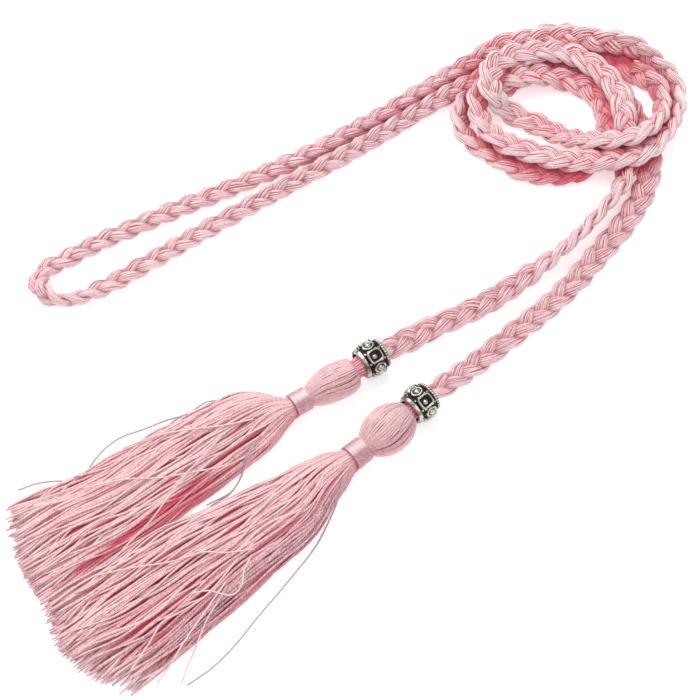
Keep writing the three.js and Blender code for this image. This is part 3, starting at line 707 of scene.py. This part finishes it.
def strand_yarns(laid, number):
    """The yarns of one strand, side by side round its core."""
    rng = np.random.default_rng(100 + number)
    along, coiled = laid.along, laid.coiled
    middle, wide, thick, half_wide, half_thick = strand_shape(laid, number)
    half_wide = half_wide * (1 + 0.05 * wave(along, 18.0, rng))[:, None]
    sway = 0.3 * wave(along, 45.0, rng)
    tone_and_painted_light = 0.2 * wave(along, 14.0, rng) + 0.1
    radius = STRAND_YARN / 2
    least = 0.3 - 0.22 * coiled
    paths, ups, painted_light_and_wear = [], [], []
    for i in range(STRAND_YARNS):
        angle = 2 * np.pi * (i + 0.5) / STRAND_YARNS + sway + 0.16 * wave(along, 16.0, rng)
        inset = radius * (1.0 + 0.35 * wave(along, 11.0, rng))[:, None]
        cos, sin = np.cos(angle)[:, None], np.sin(angle)[:, None]
        cos = np.sign(cos) * np.abs(cos) ** 0.85
        point = middle + wide * (half_wide - inset) * cos + thick * (half_thick - inset) * sin
        local = point - laid.centre
        side = np.abs((local * laid.across).sum(1)) / (laid.width / 2)
        high = np.abs((local * laid.upward).sum(1)) / (BRAID_THICK / 2)
        # Painted shade: yarns towards the braid's middle, away from its edges and faces, are darker, down
        # to least, which is lower in the coil.
        painted_light_and_wear.append(least + (1 - least) * smooth(0.15, 0.8, (side ** 4 + high ** 2) ** 0.5))
        ups.append(unit(point - middle + 1e-9))
        point[:, 2] = np.maximum(point[:, 2], radius)
        paths.append(point)
    paths = np.array(paths)
    radii = radius * (1 + 0.1 * rng.standard_normal((STRAND_YARNS, 1)))
    # Painted shade where another turn lies near the yarns or over them.
    near, under = beside_turns(paths, laid)
    painted_light_and_wear = np.array(painted_light_and_wear) * (0.35 + 0.65 * smooth(3.5, 6.6, near)) * (1 - 0.5 * under)
    height = laid.centre[:, 2]
    # Painted light: high turns are paler, and low turns in the coil pinker as painted shade.
    tone_and_painted_light = tone_and_painted_light + 0.16 - 0.4 * smooth(3, 11, height) + 0.25 * coiled * smooth(9, 6, height)
    tint = np.clip(rng.random((STRAND_YARNS, 1)) * 0.7 + tone_and_painted_light, 0, 1)
    # Outside the coil, yarns in painted shade turn mauve.
    tint = tint + 1.6 * (1 - painted_light_and_wear) * (1 - coiled)
    # Painted light: high turns of the coil are paler still, and the table of shades darkens some places and
    # lightens others.
    raised = smooth(5, 11, paths[..., 2])
    painted_light_and_wear = painted_light_and_wear * (1 + 0.35 * raised * coiled) * (1 - shade_at(paths))
    return tubes(paths, radii, np.array(ups), 4, tint, painted_light_and_wear)


def strand_core(laid, number):
    """The inside of a strand, seen only in the gaps between its yarns and painted as the shade there."""
    middle, wide, thick, half_wide, half_thick = strand_shape(laid, number)
    angle = circle(CORE_SIDES)
    wide, thick = wide * (half_wide - CORE_INSET), thick * (half_thick - CORE_INSET)
    rings = middle[:, None] + outward(angle, wide[:, None], thick[:, None])
    rings[..., 2] = np.maximum(rings[..., 2], 0.1)
    coiled = laid.coiled[:, None]
    return closed_rings(rings, laid.along, angle, 1.6 - 0.7 * coiled, 0.4 - 0.25 * coiled)


def make_braid(material):
    """The three strands, from bead to bead."""
    laid = lay_braid()
    for number, name in enumerate(("strand_a", "strand_b", "strand_c")):
        parts = [strand_yarns(laid, number), strand_core(laid, number)]
        strand = mesh_object(name, material, *join_parts(parts))
        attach(strand, "root")
    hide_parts("braid")


def axis_frame(tassel, places):
    """Points of a head's bowed axis at places from its top, with two directions across it."""
    top, waist, bow = (np.array(tassel[key], float) for key in ("top", "waist", "bow"))
    way = waist - top
    length = np.linalg.norm(way)
    way = way / length
    share = np.clip(places / length, 0, 1)[:, None]
    centre = top - PLAN_MIDDLE + way * places[:, None] + bow * 4 * share * (1 - share)
    level = unit(np.array([-way[1], way[0], 0.0]))
    return centre, level, np.cross(way, level)


def revolve(tassel, places, radii, painted_light_and_wear, tint=0.5):
    """A closed turned shape round a head's axis."""
    centre, level, rise = axis_frame(tassel, places)
    angle = circle(HEAD_SIDES)
    rings = centre[:, None] + radii[:, None, None] * outward(angle, level, rise)
    rings[..., 2] = np.maximum(rings[..., 2], 0.05)
    return closed_rings(rings, places, angle, tint, painted_light_and_wear, reverse=True)


def head_outline(tassel, radius):
    """Places along a head and its radius there: the neck in the bead, the fold out and the belly."""
    neck, rows = tassel["neck"], tassel["head"]
    first = rows[0][1]
    outline = [(-neck - 1, 3.6), (-neck, 3.5), (-0.9, 3.05), (-0.3, 3.3), (-0.05, first - 0.4),
               (0.3, first + 0.1)]
    outline += [(place, size - radius * 0.3) for place, size in rows[1:-1]]
    outline.append((rows[-2][0] + 2, rows[-1][1] - 0.3))
    curve = resample(route_curve([(place, size, 0) for place, size in outline]), HEAD_STEP)[1]
    return curve[:, 0], curve[:, 1]


def make_head(tassel, material):
    """Yarns that come out of the bead, fold out over the head and gather under the binding."""
    rng = np.random.default_rng(300 + tassel["number"])
    radius = HEAD_YARN / 2
    belly = max(size for _, size in tassel["head"])
    count = int(2 * np.pi * belly / (0.76 * HEAD_YARN))
    places, sizes = head_outline(tassel, radius)
    centre, level, rise = axis_frame(tassel, places)
    crowd = np.clip(sizes / belly, 0.3, 1)
    turns = circle(count)
    # Towards the front, which is lower in the photo, a head's yarns lie less evenly.
    shaded_side = np.exp(-((turns - 0.65) / 0.45) ** 2)
    paths, ups, painted_light_and_wear, radii = [], [], [], []
    for i, turn in enumerate(turns):
        loose = tassel["loose"] + 0.32 * shaded_side[i]
        angle = turn + 2 * np.pi * loose * rng.standard_normal() / count
        angle = angle + tassel["slant"] * smooth(0, 16, places)
        angle = angle + (0.2 * wave(places, 8.0, rng) + 0.3 * wave(places, 30.0, rng)) * HEAD_YARN / belly
        layer = i % 2
        sink = radius * (0.2 + 0.9 * layer * (1 - crowd) + 0.3 * np.abs(wave(places, 14.0, rng)))
        out = outward(angle, level, rise)
        shoulder = tassel["shoulder"] * np.maximum(np.cos(angle), 0)
        shoulder = shoulder * smooth(-0.2, 0.9, places) * smooth(9, 2, places)
        point = centre + out * (sizes - sink + shoulder)[:, None]
        point[:, 2] = np.maximum(point[:, 2], radius)
        paths.append(point)
        ups.append(out)
        # Sunken yarns are painted darker as shade; inside the bead's hole a few yarns are pale and the
        # others are painted dark as shade.
        neck = smooth(0.6, -0.6, places) * rng.choice([0.1, 0.85, 1.0])
        painted_light_and_wear.append((smooth(1.1, 0.1, sink / radius) * 0.5 + 0.5) * (1 - neck))
        radii.append(radius * (0.85 + 0.3 * rng.random()) * (0.72 + 0.28 * crowd))
    # Yarns towards the front are painted mauve at random, as painted shade.
    tint = 0.35 * rng.random(count) + 1.5 * shaded_side * rng.random(count)
    shell = tubes(np.array(paths), np.array(radii), np.array(ups), 5, tint, np.array(painted_light_and_wear))
    # The core under the yarns is painted mauve as the shade between them.
    core = revolve(tassel, places, sizes - radius * 1.5, 0.6, 1.9)
    head = mesh_object("head_%d" % tassel["number"], material, *join_parts([shell, core]))
    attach(head, "root")
    return head


def skirt_section(tassel):
    """A function that gives a skirt's middle, half its width, its top and its underside at distances."""
    waist = tassel["waist"][2]
    reach = tassel["head"][-1][1] - 0.1
    inside = [(place, -reach, reach, waist + reach, waist - reach) for place in (-4.5, -0.4)]
    rows = inside + tassel["skirt"]
    dense = np.linspace(rows[0][0], rows[-1][0], 240)
    low, high, top, under = curve_at(rows, dense)
    columns = ((low + high) / 2, (high - low) / 2, top, under)
    return lambda distance: [np.interp(distance, dense, column) for column in columns]


def skirt_point(tassel, distance, side, height):
    """Points of a skirt by their distance along it, side and height."""
    heading = math.radians(tassel["heading"])
    way = np.array([math.cos(heading), math.sin(heading)])
    flat = (np.array(tassel["waist"][:2]) - PLAN_MIDDLE[:2] + distance[..., None] * way
            + side[..., None] * np.array([way[1], -way[0]]))
    return np.concatenate([flat, height[..., None]], -1)


def skirt_plan(rng):
    """Where each yarn of a skirt runs: (u across, place in its lock, layer, number of its lock)."""
    rows, lock = [], 0
    for layer in range(SKIRT_LAYERS + 2):
        edge = -1.0
        while edge < 0.99:
            wide = min(rng.uniform(0.07, 0.2), 1.0 - edge)
            count = max(1, int(round(wide * YARNS_ACROSS)))
            for i in range(count):
                v = 2 * (i + 0.5 + 0.15 * rng.standard_normal()) / count - 1
                rows.append((edge + wide / 2, wide / 2 * v, v, layer, lock))
            edge += wide
            lock += 1
    return np.array(rows), lock


def part_gaps(number, distance, side, layer, rng):
    """The yarns' places to the side, moved apart at the open gaps."""
    for start, from_side, stop, to_side, wide in GAPS[number]:
        middle = from_side + (to_side - from_side) * (distance - start) / (stop - start)
        window = (smooth(start - GAP_END, start + GAP_END, distance)
                  * smooth(stop + GAP_END, stop - GAP_END, distance) * (layer < GAP_LAYERS))
        off = side - middle
        hand = np.where((off * window).sum(1) >= 0, 1.0, -1.0)[:, None]
        short = wide * (1 + 0.35 * rng.random(layer.shape)) - hand * off
        side = side + hand * np.clip(short, 0, 1.8 * wide) * window
    return side


def valley_at(tassel, distance, side):
    """How far the yarns are down in the long valley of a skirt that has one, and at its crease."""
    if not tassel["valley"]:
        return np.zeros_like(distance), np.zeros_like(distance)
    line = -6.5 - 0.13 * (distance - 38)
    reached = smooth(28, 44, distance)
    crease = np.exp(-((side - line) / 0.7) ** 2)
    return smooth(line + 0.5, line - 0.8, side) * reached, crease * reached


def skirt_strays(tassel, yarns, sizes):
    """The single yarns that lie apart, on the skirt or on the ground."""
    radius = STRAY_YARN / 2
    parts = []
    for stray in STRAYS[tassel["number"]]:
        rows = resample(route_curve(filled(stray), 8), 1.0)[1]
        path = skirt_point(tassel, rows[:, 0], rows[:, 1], np.maximum(rows[:, 2], radius))
        path = lay_over(path, yarns, sizes)[None]
        on_ground = np.median(rows[:, 2]) < 1
        # A stray on the skirt is painted paler, as painted light; one on the ground is dull grey.
        tint, painted_light_and_wear = (3.0, 1.1) if on_ground else (0.05, 1.7)
        parts.append(tubes(path, radius, UP, 6, tint, painted_light_and_wear))
    return parts


def make_skirt(tassel, material):
    """Hundreds of yarns from the binding to their tips, in layers of small locks."""
    number = tassel["number"]
    rng = np.random.default_rng(500 + number)
    radius = SKIRT_YARN / 2
    section = skirt_section(tassel)
    share = np.linspace(0, 1, SKIRT_STEPS)
    drift = smooth(0.03, 0.3, share)

    plan, locks = skirt_plan(rng)
    count = len(plan)
    lock_u, yarn_u, v, layer, lock = plan.T
    lock, v, layer = lock.astype(int), v[:, None], layer[:, None]
    beneath = layer >= SKIRT_LAYERS
    lock_side = waves(locks, share, 0.8, rng)[lock]
    lock_lift = (0.18 * rng.standard_normal(locks)[:, None] + 0.18 * waves(locks, share, 0.6, rng))[lock]
    lock_tint = rng.random(locks)[lock]
    lock_turn = rng.uniform(0, 2 * np.pi, locks)[:, None] + rng.normal(0, 2.6, locks)[:, None] * share
    lock_turn = lock_turn[lock]
    own_side = waves(count, share, 0.4, rng)
    own_lift = waves(count, share, 0.45, rng)
    # Some of the upper yarns cross the others.
    roams = (rng.random(count)[:, None] < 0.34) & (layer < 2)
    roam = np.where(roams, 1.3 * waves(count, share, 0.36, rng, 2), 0)

    # Along the skirt, to ragged tips.
    middle, half = section(np.full(count, TIP_SECTION))[:2]
    end_side = middle + half * (lock_u + yarn_u)
    tips, tip_sides = zip(*tassel["tips"])
    ragged = np.clip(rng.normal(0, 2.4, locks)[lock] + rng.normal(0, 1.9, count), -8.0, 2.4)
    reach = np.interp(end_side, tip_sides, tips) + ragged - tassel["trim"]
    distance = SKIRT_START + (reach[:, None] - SKIRT_START) * share ** 1.1

    # To the side, where the locks draw together and splay at the tips.
    middle, half, top, under = section(distance)
    spread = 1 - 0.22 * (0.5 + 0.5 * np.sin(lock_turn)) * drift
    across = lock_u[:, None] + yarn_u[:, None] * spread
    splay = (1.7 * rng.standard_normal(locks)[lock] + 1.1 * rng.standard_normal(count))[:, None]
    splay = smooth(0.76, 1.0, share) ** 2 * splay
    side = middle + 0.96 * half * across + (1.1 * lock_side + 0.4 * own_side + roam) * drift + splay
    side = np.clip(side, middle - half - 0.2, middle + half + 0.2)
    side = part_gaps(number, distance, side, layer, rng)

    # Down from the domed top, by layers.
    u = np.clip((side - middle) / half, -1, 1)
    crest = under + (top - under) * (1 - SKIRT_DOME * u ** 2) ** 0.5
    slim = np.clip(0.6 + 0.4 * half / 13, 0.6, 1)
    size = radius * slim * (1 + 0.12 * rng.standard_normal((count, 1)))
    valley, crease = valley_at(tassel, distance, side)
    depth = LAYER_DEPTH * layer + 0.45 * v ** 2 - (lock_lift + 0.2 * own_lift) * drift
    depth = depth - (0.3 * v * np.sin(lock_turn) + 0.36 * roams) * drift
    depth = depth + 0.6 * valley + 0.5 * crease
    height = np.where(beneath, under + size + 0.5 * (layer - SKIRT_LAYERS), crest - size - depth)
    height = np.maximum(np.maximum(height, under + size), size)

    # Painted shade: the deeper a yarn lies under the top, the darker it is, but yarns at the flanks stay
    # open; the yarns beneath, and those in the valley and along its crease by a random streak, are painted
    # darker too.
    sunk = crest - height - size
    painted_light_and_wear = np.maximum(smooth(1.55, 0.15, sunk), 0.85 * smooth(0.86, 0.98, np.abs(u)))
    streak = rng.uniform(0.2, 1.5, count)[:, None]
    painted_light_and_wear = np.where(beneath, 0.9, painted_light_and_wear) * (1 - np.clip((0.45 * valley + 0.5 * crease) * streak, 0, 0.9))
    # At the tips the yarns are paler and free of painted shade.
    painted_light_and_wear = np.maximum(painted_light_and_wear, 1.4 * smooth(0.82, 0.97, share))
    tint = 0.5 * lock_tint + 0.65 * rng.random(count) - 0.3 * roams[:, 0]
    # The valley's yarns turn mauve, as painted shade.
    tint = np.clip(tint, 0, 1)[:, None] + 0.4 * valley + 0.1 * smooth(0.85, 1.0, share)
    # Painted shade: the lower flank turns mauve, as far as the tassel's mauve says.
    shaded_side = smooth(-0.35, -0.75, u) * smooth(2, 16, distance) * smooth(1.0, 0.82, share)
    tint = tint + tassel["mauve"] * shaded_side

    size[:, -1] *= 0.6
    points = skirt_point(tassel, distance, side, height)
    yarns = tubes(points, size, UP, 5, tint, painted_light_and_wear)
    parts = [yarns, skirt_core(tassel, section)] + skirt_strays(tassel, points, size)
    skirt = mesh_object("skirt_%d" % number, material, *join_parts(parts))
    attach(skirt, "root")
    return skirt


def lay_over(path, yarns, sizes):
    """The path of a single yarn, lifted to lie on the yarns that it crosses."""
    steps = np.linspace(0, yarns.shape[1] - 1, 4 * yarns.shape[1])
    first = np.minimum(steps.astype(int), yarns.shape[1] - 2)
    rest = (steps - first)[:, None]
    dense = yarns[:, first] * (1 - rest) + yarns[:, first + 1] * rest
    top = (dense[..., 2] + sizes[:, first]).reshape(-1)
    flat = dense[..., :2].reshape(-1, 2)
    lifted = path.copy()
    for i, point in enumerate(path):
        apart = np.hypot(*(flat - point[:2]).T)
        under = top[apart < STRAY_REACH]
        if len(under) and point[2] > 1.5:
            lifted[i, 2] = max(point[2], under.max() + STRAY_YARN / 2)
    high = np.pad(lifted[:, 2], 2, mode="edge")
    high = np.max([high[i:i + len(path)] for i in range(5)], 0)
    lifted[:, 2] = np.convolve(np.pad(high, 2, mode="edge"), np.ones(5) / 5, "valid")
    return lifted


def skirt_core(tassel, section):
    """The middle of a skirt, seen between its yarns and painted dark as the shade there."""
    sides, inset = 14, 3.2
    places = np.linspace(SKIRT_START, SKIRT_CORE_END, 40)
    middle, half, top, under = (values[:, None] for values in section(places))
    angle = circle(sides)
    u = 0.93 * np.cos(angle)
    side = middle + half * u
    crest = under + (top - under) * (1 - SKIRT_DOME * u * u) ** 0.5
    height = np.where(np.sin(angle) > 0, np.maximum(crest - inset, under + 0.35), under + 0.3)
    distance = np.broadcast_to(places[:, None], side.shape)
    rings = skirt_point(tassel, distance, side, np.maximum(height, 0.15))
    return closed_rings(rings, places, angle, 1.0, 0.1, reverse=True)


def make_binding(tassel, material):
    """A thread wound round the waist in close turns, over a ring."""
    start, radius = tassel["head"][-2]
    stop = tassel["head"][-1][0]
    thread, outer = BINDING_THREAD, radius + BINDING_OUT
    low, high = start + BINDING_EDGE + thread / 2, stop - BINDING_EDGE - thread / 2
    turns = int(round((high - low) / (0.8 * thread)))
    angle = np.linspace(0, 2 * np.pi * turns, turns * 36)
    places = low + (high - low) * angle / angle[-1]
    centre, level, rise = axis_frame(tassel, places)
    out = outward(angle, level, rise)
    rng = np.random.default_rng(700 + tassel["number"])
    size = outer - thread / 2 + 0.05 * wave(angle, 19.0, rng)
    path = (centre + out * size[:, None])[None]
    # Painted highlight: the thread is paler where it faces up and a little to the front; elsewhere
    # painted shade makes it mauve.
    painted_highlight_facing = out @ unit(np.array([-0.25, -0.15, 0.95]))
    tint = 1.35 * smooth(0.995, 0.78, painted_highlight_facing)[None] + 0.12 * wave(angle, 5.0, rng)
    wound = tubes(path, thread / 2, out[None], 6, tint, 1.0)
    # The ring under the thread is painted dark, as the shade between its turns.
    span = np.linspace(start + 0.35, stop - 0.35, 6)
    ring = revolve(tassel, span, np.full(6, outer - thread * 0.7), 0.3)
    winding = mesh_object("winding_%d" % tassel["number"], material, *join_parts([wound, ring]))
    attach(winding, "root")
    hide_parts("binding_%d" % tassel["number"])


def round_top(distance, radius):
    """Height of a dome of height 1 at a distance from its middle."""
    return np.clip(1 - (distance / radius) ** 2, 0, 1) ** 0.5


def bead_relief(angle, place, belly):
    """Outside of a bead's belly with its cast ornament: framed squares and ringed knobs by turns."""
    step = 2 * np.pi / ORNAMENTS
    number = np.round(angle / step)
    along = (angle - number * step) * ORNAMENT_RADIUS

    # A square frame round a small knob.
    box = (np.abs(along / 1.04) ** 4 + np.abs(place) ** 4) ** 0.25
    frame = GROUND_RADIUS + FRAME_RISE * smooth(1.5, 1.75, box) * smooth(2.45, 2.1, box)
    knob = round_top(np.hypot(along - 0.2, place + 0.35), 0.95)
    square_top = np.where(box < 2.5, np.maximum(frame, (KNOB_RADIUS + KNOB_RISE * knob) * (knob > 0)), 0)

    # A ring round a dome.
    disc = np.hypot(along, place)
    ring = GROUND_RADIUS + RING_RISE * smooth(1.2, 1.35, disc) * smooth(2.0, 1.75, disc)
    dome = round_top(disc, 1.1)
    round_one = np.where(disc < 2.05, np.maximum(ring, (DOME_RADIUS + KNOB_RISE * dome) * (dome > 0)), 0)

    # Small grains between them.
    between = (angle / step - 0.5) - np.round(angle / step - 0.5)
    grain = np.max([round_top(np.hypot(between * step * BELLY_RADIUS, np.abs(place) - y), GRAIN_SIZE)
                    for y in GRAIN_PLACES], 0)
    top = np.where(number % 2 == 0, square_top, round_one)
    return np.maximum(top - 0.07 * place ** 2, belly + GRAIN_RISE * grain)


def bead_outside(place, angle):
    """Radius and shine of a bead at places along its hole and angles round it."""
    belly = np.repeat(curve_at(BEAD_OUTLINE, place)[0][:, None], len(angle), 1)
    place, angle = np.meshgrid(place, angle, indexing="ij")
    from_band = place - BAND_MIDDLE
    hollow = BAND_DEPTH * (np.abs(from_band) < BAND_HALF)
    raised = np.maximum(belly - hollow, bead_relief(angle, from_band / BAND_STRETCH, belly - BAND_DEPTH))
    in_band = place >= BAND_START
    raised = np.where(in_band, raised, belly)
    milled = smooth(3.35, 3.6, place) * smooth(4.5, 4.35, place)
    raised = raised + milled * NOTCH_RISE * np.abs(np.cos(angle * NOTCHES / 2)) ** 0.6
    shine = smooth(0.0, 0.5, raised - belly + BAND_DEPTH) * in_band
    shine = np.maximum(shine, 0.85 * smooth(3.0, 3.15, -place))
    return raised, np.maximum(shine, milled * smooth(0.08, 0.2, raised - belly))


def make_bead(row, material):
    """A cast bead: a barrel with a smooth rim, a milled rim and eight raised ornaments round it."""
    name, x, y, heading, spin = row
    half = BEAD_LENGTH / 2
    angle = circle(BEAD_SIDES)
    place = np.linspace(-half, half, BEAD_RINGS)
    raised, shine = bead_outside(place, angle)
    # The hole, back from the milled rim: place, radius and shine.
    rim = [(half, 0.3, 0.7), (half - 0.15, 0.05, 0.5), (half - 0.4, 0, 0.1)]
    hole = np.array(rim + [(0, 0, 0.05)] + [(-along, wider, worn) for along, wider, worn in rim[::-1]])
    places = np.concatenate([place, hole[:, 0]])
    sizes = np.vstack([raised, np.repeat(HOLE_RADIUS + hole[:, 1:2], BEAD_SIDES, 1)])
    shine = np.vstack([shine, np.repeat(hole[:, 2:], BEAD_SIDES, 1)])
    turn = math.radians(heading)
    way = np.array([math.cos(turn), math.sin(turn), 0])
    left = np.array([-math.sin(turn), math.cos(turn), 0])
    middle = np.array([x, y, BEAD_HEIGHT]) - PLAN_MIDDLE
    out = outward(angle + math.radians(spin), left, UP)
    verts = middle + places[:, None, None] * way + sizes[..., None] * out
    verts[..., 2] = np.maximum(verts[..., 2], 0)
    # The last ring joins the first, so the shape closes through the hole.
    index = np.arange(sizes.size).reshape(sizes.shape)
    quads = band(np.vstack([index, index[:1]]))
    bead = mesh_object(name + "_cast", material, verts.reshape(-1, 3) * MM, [quads],
                       {"painted_light_and_wear": shine.ravel()})
    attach(bead, "root")
    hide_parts(name)


def add_light(name, place, size, power):
    """A square lamp that looks at the origin."""
    light = bpy.data.lights.new(name, "AREA")
    light.size = size
    light.energy = power
    obj = add_object(name, light)
    obj.location = place
    x, y, z = place
    down = math.atan2(z, math.hypot(x, y))
    obj.rotation_euler = (math.pi / 2 - down, 0, math.atan2(-y, -x) - math.pi / 2)


def set_studio():
    """Soft white light: a sky that is brighter overhead, a key lamp behind and a fill in front."""
    world = bpy.data.worlds.new("studio")
    bpy.context.scene.world = world
    world.use_nodes = True
    n = Nodes(world.node_tree)
    sky = n.tree.nodes["Background"].inputs
    n.plug(sky["Color"], (1, 1, 1, 1))
    n.plug(sky["Strength"], n.ramp(n.parts(n.place("Generated"))[2], 0.0, 1.0, 0.15, 0.6))
    add_light("key", (-0.45, 0.5, 0.8), 1.2, 10.5)
    add_light("fill", (0.6, -0.6, 0.9), 1.4, 5.5)
    bpy.context.scene.view_settings.view_transform = "Standard"


set_camera()
make_braid(yarn_material("braid_yarn", linear(252, 239, 239), linear(238, 178, 186),
                         linear(222, 92, 109), 420, grit=2.6, shade=linear(200, 130, 143)))
tassel_yarn = yarn_material("tassel_yarn", linear(243, 213, 214), linear(214, 131, 144),
                            linear(222, 92, 111), 400, twist=0.35, grit=2.4)
binding_thread = yarn_material("binding_thread", linear(254, 238, 238), linear(196, 100, 118),
                               linear(160, 52, 70), 700, rough=0.25)
bead_metal = metal_material("bead_metal")
for tassel in TASSELS:
    head = make_head(tassel, tassel_yarn)
    skirt = make_skirt(tassel, tassel_yarn)
    for yarns in (head, skirt):
        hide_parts("tassel_%d" % tassel["number"])
    make_binding(tassel, binding_thread)
for bead in BEADS:
    make_bead(bead, bead_metal)

corners = np.array([(-FLOOR_HALF, -FLOOR_HALF, 0), (FLOOR_HALF, -FLOOR_HALF, 0),
                    (FLOOR_HALF, FLOOR_HALF, 0), (-FLOOR_HALF, FLOOR_HALF, 0)])
floor = mesh_object("floor", floor_material(), corners, [np.array([[0, 1, 2, 3]])])
set_studio()
